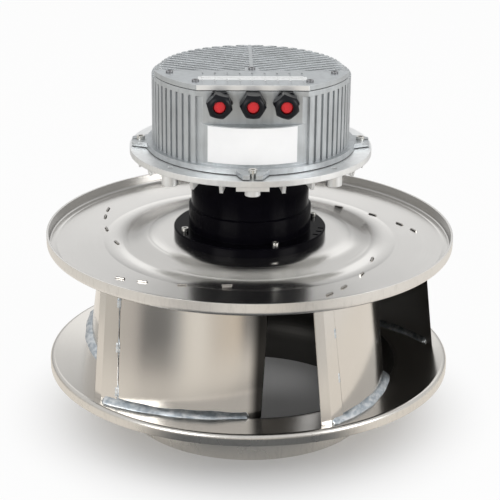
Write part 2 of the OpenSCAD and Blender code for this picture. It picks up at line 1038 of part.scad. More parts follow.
module housing_screws() {
    head_r = 5;
    head_h = 4;
    key_flats = 5;
    color("silver")
        around(4)
            translate([lug_screw_circle_r, 0, flange_top + lug_t])
                difference() {
                    union() {
                        cylinder(r = head_r, h = head_h);
                        translate([0, 0, -lug_t - flange_t - 6])
                            cylinder(r = lug_screw_r, h = lug_t + flange_t + 6 + over);
                    }
                    translate([0, 0, head_h - 2.5])
                        hexagon(key_flats, 2.5 + over);
                }
}

// Lid

module terminal_lid() {
    bar_l = 118;
    bar_w = 5;
    bar_h = 1.2;
    bar_y = 66;
    groove_pitch = 14.5;
    groove_w = 2.2;
    groove_depth = 1;
    groove_l = 22;
    color("darkgray")
        difference() {
            union() {
                translate([0, 0, lid_z])
                    linear_extrude(lid_t)
                        lid_plan(housing_r);
                translate([0, -rear_screw_y, block_top])
                    cylinder(r = rear_boss_r, h = lid_top - block_top);
                translate([-bar_l / 2, -bar_y - bar_w / 2, lid_top - over])
                    cube([bar_l, bar_w, bar_h + over]);
            }
            lid_screw_places()
                translate([0, 0, block_top - over])
                    cylinder(r = lid_screw_r + fit, h = lid_t + seal_t + 2 * over);
            for (i = [-4:4]) {
                translate([i * groove_pitch - groove_w / 2, -panel_y + 5, lid_top - groove_depth])
                    cube([groove_w, groove_l, groove_depth + over]);
                translate([i * groove_pitch - groove_w / 2, -bar_y + bar_w, lid_top - groove_depth])
                    cube([groove_w, groove_l - 4, groove_depth + over]);
            }
        }
}

module lid_seal() {
    color("dimgray")
        translate([0, 0, block_top])
            linear_extrude(seal_t)
                difference() {
                    pocket_plan(pocket_r + 3, 3);
                    pocket_plan(pocket_r, 0);
                    corner_screw_places()
                        circle(r = lid_boss_r + 0.5);
                }
}

module lid_screws() {
    key_flats = 3.4;
    color("silver")
        lid_screw_places()
            difference() {
                union() {
                    translate([0, 0, lid_top])
                        cylinder(r = lid_head_r, h = lid_head_h);
                    translate([0, 0, block_top - screw_depth + 2])
                        cylinder(r = lid_screw_r, h = lid_top - block_top + screw_depth - 2 + over);
                }
                translate([0, 0, lid_top + lid_head_h - 1.4])
                    hexagon(key_flats, 1.4 + over);
            }
}

// Glands

// places its child on each gland axis, with the child's z pointing inwards along +Y
module gland_places() {
    for ($gland = [0:2])
        translate([($gland - 1) * gland_pitch, 0, gland_z])
            rotate([-90, 0, 0])
                children();
}

module gland_bodies() {
    color("black")
        gland_places()
            difference() {
                union() {
                    translate([0, 0, -panel_y - collar_l])
                        hexagon(gland_flats, collar_l);
                    translate([0, 0, -panel_y - 2 * collar_l])
                        cylinder(r = gland_thread_r, h = 2 * collar_l + thread_l);
                }
                translate([0, 0, -panel_y - collar_l - cap_l])
                    cylinder(r = gland_bore_r, h = collar_l + cap_l + thread_l + over);
            }
}

module gland_caps() {
    corner_r = gland_flats / 2 / cos(30) + over;
    front = -panel_y - collar_l - cap_gap - cap_l;
    dome_steps = 8;
    color("black")
        gland_places()
            difference() {
                intersection() {
                    translate([0, 0, front])
                        rotate([0, 0, cap_turns[$gland]])
                            hexagon(gland_flats, cap_l);
                    rotate_extrude()
                        polygon(concat(
                            [
                                [0, front + cap_l],
                                [0, front]
                            ],
                            [
                                for (i = [0:dome_steps])
                                    [
                                        dome_front_r + (corner_r - dome_front_r) * sin(90 * i / dome_steps),
                                        front + dome_l * (1 - cos(90 * i / dome_steps))
                                    ]
                            ],
                            [[corner_r, front + cap_l]]
                        ));
                }
                translate([0, 0, front + cap_l - collar_l])
                    cylinder(r = gland_thread_r + fit, h = collar_l + over);
                translate([0, 0, front - over])
                    cylinder(r = gland_bore_r, h = cap_l + 2 * over);
            }
}

module gland_plugs() {
    face = -panel_y - collar_l - cap_gap - cap_l + plug_sunk;
    color("red")
        gland_places()
            rotate_extrude()
                polygon([
                    [0, face],
                    [plug_r - plug_edge, face],
                    [plug_r, face + plug_edge],
                    [plug_r, face + plug_l],
                    [0, face + plug_l]
                ]);
}

module gland_locknuts() {
    color("dimgray")
        gland_places()
            translate([0, 0, -pocket_front])
                difference() {
                    hexagon(locknut_flats, locknut_l);
                    translate([0, 0, -over])
                        cylinder(r = gland_thread_r + fit, h = locknut_l + 2 * over);
                }
}

module bare_plate() {
    plate_t = 0.6;
    color("white")
        translate([0, 0, ledge_z - 1 - label_h])
            front_angle(-plate_half_angle)
                rotate_extrude(angle = 2 * plate_half_angle)
                    translate([smooth_r + fit, 0])
                        square([plate_t, label_h]);
}

// Electronics

module power_board() {
    color("darkgreen")
        translate([0, 0, board_z])
            difference() {
                cylinder(r = board_r, h = board_t);
                around(4, 45)
                    translate([post_circle_r, 0, -over])
                        cylinder(r = post_r / 2 + fit, h = board_t + 2 * over);
            }
}

module board_posts() {
    color("goldenrod")
        around(4, 45) {
            translate([post_circle_r, 0, flange_top])
                cylinder(r = post_r, h = board_z - flange_top);
            translate([post_circle_r, 0, board_z - over])
                cylinder(r = post_r / 2, h = board_t + over + post_pin_l);
        }
}

module capacitors() {
    color("midnightblue")
        for (i = [-1:1])
            translate([i * can_pitch, can_y, board_top])
                cylinder(r = can_r, h = can_h);
}

module power_module() {
    color("black")
        translate([-module_x, -module_y, board_top])
            cube([module_l, module_w, module_h]);
}

module line_choke() {
    color("chocolate")
        translate([choke_x, choke_y, board_top + choke_wire_r])
            rotate_extrude()
                translate([choke_core_r, 0])
                    circle(r = choke_wire_r);
}

module terminal_blocks() {
    color("darkseagreen")
        for (i = [-1:1])
            translate([i * block_pitch, -pocket_rear - block_w, pocket_floor])
                difference() {
                    translate([-block_l / 2, -block_w / 2, 0])
                        cube([block_l, block_w, block_w]);
                    for (k = [-1:1])
                        translate([k * block_hole_pitch, 0, block_w - block_hole_d])
                            cylinder(r = block_hole_r, h = block_hole_d + over);
                }
}

motor_flange();
bearing_tube();
flange_seal();
bearing_cap();
electronics_housing();
housing_screws();
terminal_lid();
lid_seal();
lid_screws();
gland_bodies();
gland_caps();
gland_plugs();
gland_locknuts();
bare_plate();
power_board();
board_posts();
capacitors();
power_module();
line_choke();
terminal_blocks();
stator_core();
coil_insulation();
stator_coils();
outer_ring(upper_bearing_z);  // upper_outer_ring
outer_ring(lower_bearing_z);  // lower_outer_ring
spring_washer();
retaining_ring();
inner_ring(upper_bearing_z);  // upper_inner_ring
inner_ring(lower_bearing_z);  // lower_inner_ring
balls(upper_bearing_z);  // upper_balls
balls(lower_bearing_z);  // lower_balls
shaft();
rotor_cup();
rotor_magnets();
foot_screws();
foot_nuts();
back_plate();
blade(1);  // blade_1
blade(2);  // blade_2
blade(3);  // blade_3
blade(4);  // blade_4
blade(5);  // blade_5
shroud();
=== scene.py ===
"""Plug fan: the finishes, weld beads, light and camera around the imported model."""

import json
import math

import bmesh
import bpy
from bpy.props import FloatProperty, FloatVectorProperty, IntProperty, PointerProperty
from mathutils import Matrix, Vector

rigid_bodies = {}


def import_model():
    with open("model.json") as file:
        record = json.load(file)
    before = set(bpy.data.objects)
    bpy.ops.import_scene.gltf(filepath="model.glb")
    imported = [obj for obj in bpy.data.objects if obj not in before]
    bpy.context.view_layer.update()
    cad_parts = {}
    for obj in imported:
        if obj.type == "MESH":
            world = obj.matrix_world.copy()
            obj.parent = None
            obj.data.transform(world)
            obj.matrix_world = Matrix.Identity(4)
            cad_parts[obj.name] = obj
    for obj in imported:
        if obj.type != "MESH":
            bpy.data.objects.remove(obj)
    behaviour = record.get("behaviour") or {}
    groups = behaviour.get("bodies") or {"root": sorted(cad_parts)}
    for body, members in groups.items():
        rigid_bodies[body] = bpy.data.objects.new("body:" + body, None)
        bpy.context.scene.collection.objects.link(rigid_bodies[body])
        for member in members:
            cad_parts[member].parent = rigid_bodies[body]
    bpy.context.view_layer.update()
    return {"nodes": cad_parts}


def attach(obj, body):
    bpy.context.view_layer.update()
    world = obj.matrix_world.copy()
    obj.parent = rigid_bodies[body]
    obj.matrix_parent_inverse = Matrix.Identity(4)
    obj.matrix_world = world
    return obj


bl_info = {
    "name": "Plug fan dressing",
    "version": (1, 0, 0),
    "blender": (4, 5, 0),
    "location": "View3D > Sidebar > Fan",
    "description": "Gives the plug fan its metals, paints, weld beads and studio",
    "category": "Object",
}

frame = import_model()
parts = frame["nodes"]

BLADE_NAMES = ["blade_1", "blade_2", "blade_3", "blade_4", "blade_5"]
MM = 0.001

# the two faces of a blade, as the way from the middle of its sheet
OUTER_FACE = 1
INNER_FACE = -1

# a fillet bead's mean size, bulge, depth of ripples and size at its ends, as shares of its full size
BEAD_MEAN = 0.90
BEAD_BULGE = 0.06
BEAD_SCALLOP = 0.035
BEAD_END = 0.6
# how fast a bead grows over its length, and how deep it is sunk into the sheets
BEAD_GROWTH = 20
BEAD_SUNK = 0.6 * MM
# points round a bead's face and round a seam weld
BEAD_POINTS = 10
SEAM_POINTS = 8
# a seam weld's height over its width, its least size and its swelling, as shares of its full size,
# and how far its runs are filled on average
SEAM_FLATNESS = 0.6
SEAM_THIN = 0.35
SEAM_SWELL = 0.6
SEAM_FILL = 0.4

# painted shade on the faces of the spun and the rolled sheets inside the wheel: how dark it leaves them, and
# how much rougher those faces are
SPUN_PAINTED_SHADE = 0.18
ROLLED_PAINTED_SHADE = 0.32
INWARD_ROUGHENING = 0.25
# which faces the painted shade covers: by how far they look away from the axis, or up for the back plate
SHROUD_AIR_SIDE = (-0.30, -0.19)
BLADE_AIR_SIDE = (-0.35, -0.05)
PLATE_AIR_SIDE = (-0.9, -0.6)
# painted dark reflection along a blade's inner edge: its tone, the edge's slant and the radii that it fades
# between
LEAD_PAINTED_DARK = 0.06
LEAD_SLANT = 0.11
LEAD_FADE = (181.5 * MM, 185.0 * MM)
# up-facing flat ends of the blades' tabs, painted darker so that they reflect less of the sky: which faces
# they are, and their tone
TAB_ENDS = (0.8, 0.95)
TAB_PAINTED_DARK = 0.5
# handled lips of plate and shroud: which faces they are, how much rougher they are, and their scuffs
LIP_OUTSIDE = (0.5, 0.8)
LIP_WEAR = 0.08
LIP_SCUFFS = (0.45, 0.75)
SCUFF_TONE = 0.88
# painted shade on the inside of the back plate's lip: which faces it is, and its tone
LIP_INSIDE = (-0.75, -0.35)
LIP_INSIDE_PAINTED_SHADE = 0.50
# worn edges of a casting, made lighter as wear and as painted highlights along its ribs: how far the rounding
# turns them, how much they are lightened and their colour, and the colour of the highlight strips painted on
# it
EDGE_TURN = (0.01, 0.16)
EDGE_WEAR_AND_HIGHLIGHT = 0.6
EDGE_WEAR_AND_HIGHLIGHT_COLOUR = (0.92, 0.93, 0.94, 1)
PAINTED_HIGHLIGHT_COLOUR = (0.90, 0.91, 0.91, 1)
# dark and bright parts of a weld's skin
WELD_DARK = (0.44, 0.50, 0.55, 1)
WELD_BRIGHT = (0.84, 0.87, 0.89, 1)
# slight hollow of the pressed back plate round its raised centre: its depth, what the radius is
# multiplied by, and the height at each such radius as a share of the depth
DISH_DEPTH = 13 * MM
DISH_SCALE = 4.0
PLATE_DISH = [
    (0.44, 1.0), (0.50, 0.93), (0.60, 0.09), (0.66, 0.0), (0.72, 0.05), (0.95, 0.40), (0.99, 0.42),
]


class FanSizes(bpy.types.PropertyGroup):
    """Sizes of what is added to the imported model."""

    bead_radius: FloatProperty(
        name="Bead radius", description="Size of a weld bead's section",
        default=9.5 * MM, unit="LENGTH",
    )
    inner_bead_radius: FloatProperty(
        name="Inner bead", description="Size of the bead on a blade's inner face",
        default=7.0 * MM, unit="LENGTH",
    )
    bead_ripple: FloatProperty(
        name="Ripple pitch", description="Distance between a bead's ripples",
        default=4.4 * MM, unit="LENGTH",
    )
    seam_radius: FloatProperty(
        name="Seam bead", description="Size of the weld spots on a blade's seam",
        default=3.4 * MM, unit="LENGTH",
    )
    bead_steps: IntProperty(
        name="Bead steps", description="Sections along a bead",
        default=220, min=20,
    )


class FanColours(bpy.types.PropertyGroup):
    """Colours of the fan's finishes."""

    housing: FloatVectorProperty(
        name="Housing", description="Die-cast housing",
        subtype="COLOR", default=(0.50, 0.525, 0.54),
    )
    flange: FloatVectorProperty(
        name="Flange", description="Bright die-cast flange",
        subtype="COLOR", default=(0.86, 0.87, 0.87),
    )
    plate: FloatVectorProperty(
        name="Back plate", description="Rolled sheet of the back plate",
        subtype="COLOR", default=(0.80, 0.785, 0.76),
    )
    blades: FloatVectorProperty(
        name="Blades", description="Rolled sheet of the blades",
        subtype="COLOR", default=(0.72, 0.69, 0.65),
    )
    shroud: FloatVectorProperty(
        name="Shroud", description="Spun sheet of the shroud",
        subtype="COLOR", default=(0.74, 0.715, 0.675),
    )
    rotor: FloatVectorProperty(
        name="Rotor", description="Gloss black paint",
        subtype="COLOR", default=(0.0022, 0.0020, 0.0032),
    )
    gland: FloatVectorProperty(
        name="Glands", description="Black moulded plastic",
        subtype="COLOR", default=(0.006, 0.0065, 0.009),
    )
    plug: FloatVectorProperty(
        name="Plugs", description="Red blanking plugs",
        subtype="COLOR", default=(0.62, 0.011, 0.018),
    )
    plate_white: FloatVectorProperty(
        name="Bare plate", description="White plate with no print",
        subtype="COLOR", default=(0.87, 0.87, 0.87),
    )


class Channel:
    """A shader socket that can be used in Python expressions."""

    def __init__(self, tree, socket):
        self.tree = tree
        self.socket = socket

    def _math(self, operation, first, second):
        return Shader.in_tree(self.tree).add(
            "ShaderNodeMath", {"operation": operation}, {0: first, 1: second}
        )

    def __add__(self, other):
        return self._math("ADD", self, other)

    __radd__ = __add__

    def __sub__(self, other):
        return self._math("SUBTRACT", self, other)

    def __rsub__(self, other):
        return self._math("SUBTRACT", other, self)

    def __mul__(self, other):
        return self._math("MULTIPLY", self, other)

    __rmul__ = __mul__


class Shader:
    """A node tree with one way to add nodes."""

    def __init__(self, owner):
        owner.use_nodes = True
        self.tree = owner.node_tree
        self.tree.nodes.clear()

    @classmethod
    def in_tree(cls, tree):
        shader = cls.__new__(cls)
        shader.tree = tree
        return shader

    def add(self, kind, settings=None, inputs=None, output=0):
        """Adds a node, sets its settings, then its sockets, and returns one of its outputs."""
        node = self.tree.nodes.new(kind)
        for key, value in (settings or {}).items():
            if key == "stops":
                self._set_stops(node.color_ramp, value)
            elif key == "easing":
                node.color_ramp.interpolation = value
            else:
                setattr(node, key, value)
        for key, value in (inputs or {}).items():
            socket = node.inputs[key]
            if isinstance(value, Channel):
                self.tree.links.new(value.socket, socket)
            else:
                socket.default_value = value
        outputs = node.outputs
        return Channel(self.tree, outputs[output]) if len(outputs) else None

    @staticmethod
    def _set_stops(ramp, stops):
        while len(ramp.elements) < len(stops):
            ramp.elements.new(1.0)
        for element, (place, value) in zip(ramp.elements, stops):
            element.position = place
            element.color = (value, value, value, 1) if isinstance(value, float) else (*value, 1)

    def place(self):
        """Position on the part, in metres."""
        return self.add("ShaderNodeTexCoord", output="Object")

    def stretched(self, vector, scale):
        """A place with its axes scaled, which stretches the noise that reads it."""
        return self.add("ShaderNodeVectorMath", {"operation": "MULTIPLY"}, {0: vector, 1: scale})

    def noise(self, vector, scale, detail=3.0, roughness=0.5):
        return self.add(
            "ShaderNodeTexNoise", None,
            {"Vector": vector, "Scale": scale, "Detail": detail, "Roughness": roughness},
        )

    def line_noise(self, distance, scale, detail=3.0):
        """Noise that changes along one distance alone."""
        return self.add(
            "ShaderNodeTexNoise", {"noise_dimensions": "1D"},
            {"W": distance, "Scale": scale, "Detail": detail},
        )

    def split(self, vector, axes):
        """Channels of a vector's axes, such as "XY"."""
        return [self.add("ShaderNodeSeparateXYZ", None, {"Vector": vector}, output=axis) for axis in axes]

    def level(self, vector):
        """Level direction from the shaft's axis to a place."""
        flat = self.stretched(vector, (1, 1, 0))
        return self.add("ShaderNodeVectorMath", {"operation": "NORMALIZE"}, {0: flat})

    def share_along(self, first, second):
        """Share of one direction along another."""
        return self.add(
            "ShaderNodeVectorMath", {"operation": "DOT_PRODUCT"}, {0: first, 1: second}, output="Value"
        )

    def step(self, value, low, high):
        """Soft step from 0 at low to 1 at high."""
        return self.add(
            "ShaderNodeMapRange", {"interpolation_type": "SMOOTHSTEP"},
            {"Value": value, "From Min": low, "From Max": high},
        )

    def looking_out(self, place, low, high):
        """0 to 1 between two outward shares of the normal: how far a face looks away from the axis."""
        normal = self.add("ShaderNodeTexCoord", output="Normal")
        return self.step(self.share_along(normal, self.level(place)), low, high)

    def looking_up(self, low, high):
        """0 to 1 between two upward shares of the normal: how far a face looks up."""
        normal = self.add("ShaderNodeTexCoord", output="Normal")
        [upward] = self.split(normal, "Z")
        return self.step(upward, low, high)

    def band(self, value, low, high):
        """1 between low and high, with edges a little softened."""
        soft = 0.2 * MM
        return self.step(value, low - soft, low + soft) * (1 - self.step(value, high - soft, high + soft))

    def ramp(self, value, stops, easing="LINEAR"):
        return self.add("ShaderNodeValToRGB", {"stops": stops, "easing": easing}, {"Fac": value})

    def blend(self, factor, first, second):
        """Colour between first and second."""
        return self.add(
            "ShaderNodeMix", {"data_type": "RGBA"}, {0: factor, 6: first, 7: second}, output=2
        )

    def axis_distance(self, vector):
        """Distance from the shaft's axis."""
        flat = self.stretched(vector, (1, 1, 0))
        return self.add("ShaderNodeVectorMath", {"operation": "LENGTH"}, {0: flat}, output="Value")

    def round_edge(self, radius):
        """Normal that rounds sharp edges off."""
        return self.add("ShaderNodeBevel", {"samples": 4}, {"Radius": radius})

    def worn_and_highlit_edges(self, rounded):
        """1 where a rounded edge turns away from the flat faces beside it."""
        flat = self.add("ShaderNodeNewGeometry", output="Normal")
        return self.step(1 - self.share_along(rounded, flat), *EDGE_TURN)

    def bump(self, height, strength, distance, normal=None):
        inputs = {"Height": height, "Strength": strength, "Distance": distance}
        if normal is not None:
            inputs["Normal"] = normal
        return self.add("ShaderNodeBump", None, inputs)

    def surface(self, sockets):
        """Principled surface to the material's output."""
        shade = self.add("ShaderNodeBsdfPrincipled", None, sockets)
        self.add("ShaderNodeOutputMaterial", None, {"Surface": shade})


def rgba(colour, share=1.0):
    """A colour with alpha, made lighter or darker by share."""
    return (*(min(1.0, channel * share) for channel in colour), 1.0)


def new_shader(name):
    """A new material and its node tree."""
    material = bpy.data.materials.new(name)
    return material, Shader(material)


def cast_metal(name, colour, roughness, edge=0.8 * MM, cloud=0.10, metal=1.0, highlight_strips=()):
    """Die-cast aluminium: fine skin grain, soft clouds, rounded edges lighter as wear and as painted
    highlights, and strips of painted highlight.

    A highlight strip is its lowest and highest Y and its half length along X.
    """
    material, shader = new_shader(name)
    place = shader.place()
    clouds = shader.noise(place, 28.0, detail=4.0, roughness=0.6)
    streaks = shader.noise(shader.stretched(place, (1, 1, 0.12)), 160.0, detail=3.0)
    grain = shader.noise(place, 1400.0, detail=2.0)
    tone = shader.step(clouds * 0.5 + streaks * 0.5, 0.3, 0.7)
    skin = shader.blend(tone, rgba(colour, 1 - cloud), rgba(colour, 1 + cloud))
    rounded = shader.round_edge(edge)
    # edges lightened as wear and as painted highlights
    skin = shader.blend(shader.worn_and_highlit_edges(rounded) * EDGE_WEAR_AND_HIGHLIGHT, skin, EDGE_WEAR_AND_HIGHLIGHT_COLOUR)
    # strips painted near white as highlights
    for low, high, half_length in highlight_strips:
        x, y = shader.split(place, "XY")
        strip_mask = shader.band(y, low, high) * shader.band(x, -half_length, half_length)
        skin = shader.blend(strip_mask, skin, PAINTED_HIGHLIGHT_COLOUR)
    shader.surface({
        "Base Color": skin,
        "Roughness": roughness - 0.08 + clouds * 0.16,
        "Metallic": metal,
        "Normal": shader.bump(grain, 0.35, 0.15 * MM, rounded),
    })
    return material


def spun_metal(name, colour, roughness, shaded_below=False, dish=(), ring_pitch=1.6 * MM):
    """Sheet turned on a lathe: rings round the shaft, smears along them, and painted shade on the faces
    inside the wheel.
    """
    material, shader = new_shader(name)
    place = shader.place()
    radius = shader.axis_distance(place)
    rings = shader.line_noise(radius, 1 / ring_pitch, detail=4.0)
    broad = shader.line_noise(radius, 45.0, detail=2.0)
    smears = shader.noise(place, 16.0, detail=4.0, roughness=0.55)
    tone = rings * 0.35 + broad * 0.3 + smears * 0.35
    bright = shader.blend(tone, rgba(colour, 0.90), rgba(colour, 1.07))
    if shaded_below:
        # painted shade on the back plate's faces that look down
        unshaded = shader.looking_up(*PLATE_AIR_SIDE)
        # painted shade on the back plate's faces that look towards the axis, the inside of its lip
        outside = shader.looking_out(place, *LIP_INSIDE)
        bright = shader.blend(outside, rgba(colour, LIP_INSIDE_PAINTED_SHADE), bright)
    else:
        # painted shade on the shroud's faces that look towards the axis
        unshaded = shader.looking_out(place, *SHROUD_AIR_SIDE)
    lip = shader.looking_out(place, *LIP_OUTSIDE)
    scuffs = shader.noise(shader.stretched(place, (1, 1, 0.3)), 260.0, detail=4.0, roughness=0.65)
    bright = shader.blend(lip * shader.step(scuffs, *LIP_SCUFFS), bright, rgba(colour, SCUFF_TONE))
    shade = shader.round_edge(0.7 * MM)
    if dish:
        height = shader.ramp(radius * DISH_SCALE, dish, easing="B_SPLINE")
        shade = shader.bump(height, 1.0, DISH_DEPTH, shade)
    wear = lip * LIP_WEAR + (1 - unshaded) * INWARD_ROUGHENING
    shader.surface({
        "Base Color": shader.blend(unshaded, rgba(colour, SPUN_PAINTED_SHADE), bright),
        "Roughness": roughness - 0.06 + smears * 0.08 + rings * 0.05 + wear,
        "Metallic": 1.0,
        "Normal": shader.bump(rings, 0.2, 0.015 * MM, shade),
    })
    return material


def rolled_metal(name, colour, roughness):
    """Rolled sheet: fine lines along the blade's height, soft smears, a painted dark reflection along the
    inner edge, painted shade on the faces inside the wheel and tab ends painted darker.
    """
    material, shader = new_shader(name)
    place = shader.place()
    lines = shader.noise(shader.stretched(place, (1, 1, 0.03)), 900.0, detail=3.0)
    smears = shader.noise(place, 14.0, detail=4.0, roughness=0.55)
    tone = lines * 0.4 + smears * 0.6
    bright = shader.blend(tone, rgba(colour, 0.90), rgba(colour, 1.06))
    # painted shade on the blade faces that look towards the axis
    unshaded = shader.looking_out(place, *BLADE_AIR_SIDE)
    # up-facing faces, the tabs' ends, painted darker to dim their reflection of the sky
    facing_up = shader.looking_up(*TAB_ENDS)
    bright = shader.blend(facing_up, bright, rgba(colour, TAB_PAINTED_DARK))
    # painted dark reflection along the blade's inner edge, slanted with height
    [height] = shader.split(place, "Z")
    slanted = shader.axis_distance(place) + height * LEAD_SLANT
    bright = shader.blend(shader.step(slanted, *LEAD_FADE), rgba(colour, LEAD_PAINTED_DARK), bright)
    shader.surface({
        "Base Color": shader.blend(unshaded, rgba(colour, ROLLED_PAINTED_SHADE), bright),
        "Roughness": roughness - 0.05 + smears * 0.1 + (1 - unshaded) * INWARD_ROUGHENING + facing_up * LIP_WEAR,
        "Metallic": 1.0,
        "Normal": shader.bump(lines, 0.2, 0.04 * MM, shader.round_edge(0.6 * MM)),
    })
    return material


def gloss_paint(name, colour, roughness=0.14):
    """Gloss paint with orange peel and a little dust."""
    material, shader = new_shader(name)
    place = shader.place()
    peel = shader.noise(place, 420.0, detail=2.0)
    dust = shader.noise(place, 60.0, detail=5.0, roughness=0.7)
    shader.surface({
        "Base Color": shader.blend(dust, rgba(colour, 0.7), rgba(colour, 1.8)),
        "Roughness": roughness + dust * 0.1,
        "Specular IOR Level": 0.03,
        "Normal": shader.bump(peel, 0.12, 0.1 * MM, shader.round_edge(0.8 * MM)),
    })
    return material


def moulded(name, colour, roughness=0.4, grain=900.0, spread=0.25, shine=0.5):
    """Moulded plastic or rubber with a fine skin."""
    material, shader = new_shader(name)
    place = shader.place()
    skin = shader.noise(place, grain, detail=2.0)
    clouds = shader.noise(place, 70.0, detail=3.0)
    shader.surface({
        "Base Color": shader.blend(clouds, rgba(colour, 1 - spread), rgba(colour, 1 + spread)),
        "Roughness": roughness - 0.06 + clouds * 0.12,
        "Specular IOR Level": shine,
        "Normal": shader.bump(skin, 0.2, 0.1 * MM, shader.round_edge(0.5 * MM)),
    })
    return material


def turned_metal(name, colour, roughness=0.3, lines=1500.0):
    """Turned or plated metal of small parts."""
    material, shader = new_shader(name)
    place = shader.place()
    fine = shader.noise(shader.stretched(place, (0.2, 0.2, 1)), lines, detail=2.0)
    clouds = shader.noise(place, 90.0, detail=3.0)
    shader.surface({
        "Base Color": shader.blend(clouds, rgba(colour, 0.85), rgba(colour, 1.1)),
        "Roughness": roughness - 0.05 + clouds * 0.1,
        "Metallic": 1.0,
        "Normal": shader.bump(fine, 0.2, 0.05 * MM, shader.round_edge(0.4 * MM)),
    })
    return material


def weld_metal(name):
    """Weld bead: bright ripples with blue-grey heat tint."""
    material, shader = new_shader(name)
    place = shader.place()
    tint = shader.noise(place, 120.0, detail=4.0, roughness=0.6)
    streaks = shader.noise(shader.stretched(place, (1, 1, 4)), 90.0, detail=3.0, roughness=0.5)
    pits = shader.noise(place, 700.0, detail=3.0)
    tone = shader.step(tint * 0.5 + streaks * 0.5, 0.36, 0.64)
    shader.surface({
        "Base Color": shader.blend(tone, WELD_DARK, WELD_BRIGHT),
        "Roughness": 0.26 + tint * 0.16,
        "Metallic": 1.0,
        "Normal": shader.bump(streaks + pits * 0.15, 0.45, 0.7 * MM),
    })
    return material


def wound_wire(name, colour):
    """Coil of enamelled wire."""
    material, shader = new_shader(name)
    place = shader.place()
    turns = shader.add(
        "ShaderNodeTexWave", {"bands_direction": "Z"},
        {"Vector": place, "Scale": 320.0, "Distortion": 0.6}, output="Fac",
    )
    shader.surface({
        "Base Color": shader.blend(turns, rgba(colour, 0.6), rgba(colour, 1.2)),
        "Roughness": 0.35 - turns * 0.1,
        "Metallic": 0.8,
        "Normal": shader.bump(turns, 0.5, 0.4 * MM),
    })
    return material


def layered_steel(name, colour):
    """Stack of thin sheets."""
    material, shader = new_shader(name)
    place = shader.place()
    layers = shader.add(
        "ShaderNodeTexWave", {"bands_direction": "Z"}, {"Vector": place, "Scale": 300.0}, output="Fac"
    )
    shader.surface({
        "Base Color": shader.blend(layers, rgba(colour, 0.7), rgba(colour, 1.2)),
        "Roughness": 0.5 - layers * 0.1,
        "Metallic": 0.9,
        "Normal": shader.bump(layers, 0.3, 0.2 * MM),
    })
    return material


def dress(names, material):
    """Gives CAD nodes a material."""
    for name in names:
        mesh = parts[name].data
        mesh.materials.clear()
        mesh.materials.append(material)


class BladeFoot:
    """Where a blade's faces meet the shroud, in metres, in the blade's own frame.

    The sizes are those of the part's source.
    """

    plate_z = 227 * MM
    neck_h = 25 * MM
    bend_x = (153 + 45) * MM
    air_bend_r = (45 + 2.5) * MM
    dish_slope = math.radians(10)
    inner_r = 156 * MM
    outer_r = 217 * MM
    wrap = math.radians(56)
    bulge = 18 * MM
    lean = math.radians(7.5)
    half_sheet = 1.5 * MM
    flare = 18 * MM
    seam_in = 16 * MM
    hem_angle = math.radians(28)
    first_angle = math.radians(-115)
    step = math.radians(72)
    strip_reach = math.radians(14)
    halvings = 40

    def __init__(self):
        half = self.wrap / 2
        inner = Vector((math.cos(half), math.sin(half))) * self.inner_r
        outer = Vector((math.cos(half), -math.sin(half))) * self.outer_r
        chord = (outer - inner).length
        along = (outer - inner) / chord
        across = Vector((-along.y, along.x))
        self.radius = (chord * chord / 4 + self.bulge ** 2) / (2 * self.bulge)
        middle = (inner + outer) / 2
        lean_shift = Vector((middle.x * (1 / math.cos(self.lean) - 1), 0))
        self.center = middle - across * (self.radius - self.bulge) - lean_shift
        self.half_sweep = math.asin(chord / 2 / self.radius)
        self.across_angle = math.atan2(across.y, across.x)

    def shroud_z(self, radius):
        """Height of the shroud's air side at a radius."""
        dish_x = self.bend_x - self.air_bend_r * math.sin(self.dish_slope)
        dish_z = self.neck_h + self.air_bend_r * math.cos(self.dish_slope)
        if radius >= dish_x:
            return dish_z + (radius - dish_x) * math.tan(self.dish_slope)
        return self.neck_h + math.sqrt(max(0.0, self.air_bend_r ** 2 - (radius - self.bend_x) ** 2))

    def point(self, angle, face):
        """Point of the foot on a face at an angle along the blade, with the ways off the sheet and up."""
        heading = self.across_angle + angle
        out = Vector((math.cos(heading), math.sin(heading)))
        plan = self.center + out * (self.radius + face * self.half_sheet)
        low, high = -self.plate_z, 0.0
        for _ in range(self.halvings):
            depth = (low + high) / 2
            spot = self._lean(plan, depth)
            if spot.z > self.shroud_z(math.hypot(spot.x, spot.y)):
                high = depth
            else:
                low = depth
        spot = self._lean(plan, (low + high) / 2)
        radial = Vector((spot.x, spot.y, 0)).normalized()
        side = Vector((out.x * math.cos(self.lean), out.y, out.x * math.sin(self.lean))) * face
        side.z = math.tan(self.dish_slope) * side.dot(radial)
        up = Vector((-math.sin(self.lean), 0, math.cos(self.lean)))
        return spot, side.normalized(), up

    def seam(self, height):
        """Point on the seam of the folded strip at a height, with its outward direction."""
        dish_z = self.neck_h + self.air_bend_r * math.cos(self.dish_slope)
        slant = self.flare / (self.plate_z - dish_z)
        seam_r = self.outer_r - self.seam_in * math.sin(self.hem_angle) + slant * (self.plate_z - height)
        low, high = -self.half_sweep - self.strip_reach, 0.0
        for _ in range(self.halvings):
            angle = (low + high) / 2
            spot, _ = self._outside(angle, height)
            if math.hypot(spot.x, spot.y) > seam_r:
                low = angle
            else:
                high = angle
        return self._outside((low + high) / 2, height)

    def _outside(self, angle, height):
        """Point on the outer face at an angle and a height, with its outward direction."""
        heading = self.across_angle + angle
        out = Vector((math.cos(heading), math.sin(heading)))
        plan = self.center + out * (self.radius + self.half_sheet)
        depth = (height - self.plate_z - plan.x * math.sin(self.lean)) / math.cos(self.lean)
        return self._lean(plan, depth), Vector((out.x, out.y, 0))

    def _lean(self, plan, depth):
        """Turns an upright blade's point by the lean."""
        return Vector((
            plan.x * math.cos(self.lean) - depth * math.sin(self.lean),
            plan.y,
            self.plate_z + plan.x * math.sin(self.lean) + depth * math.cos(self.lean),
        ))


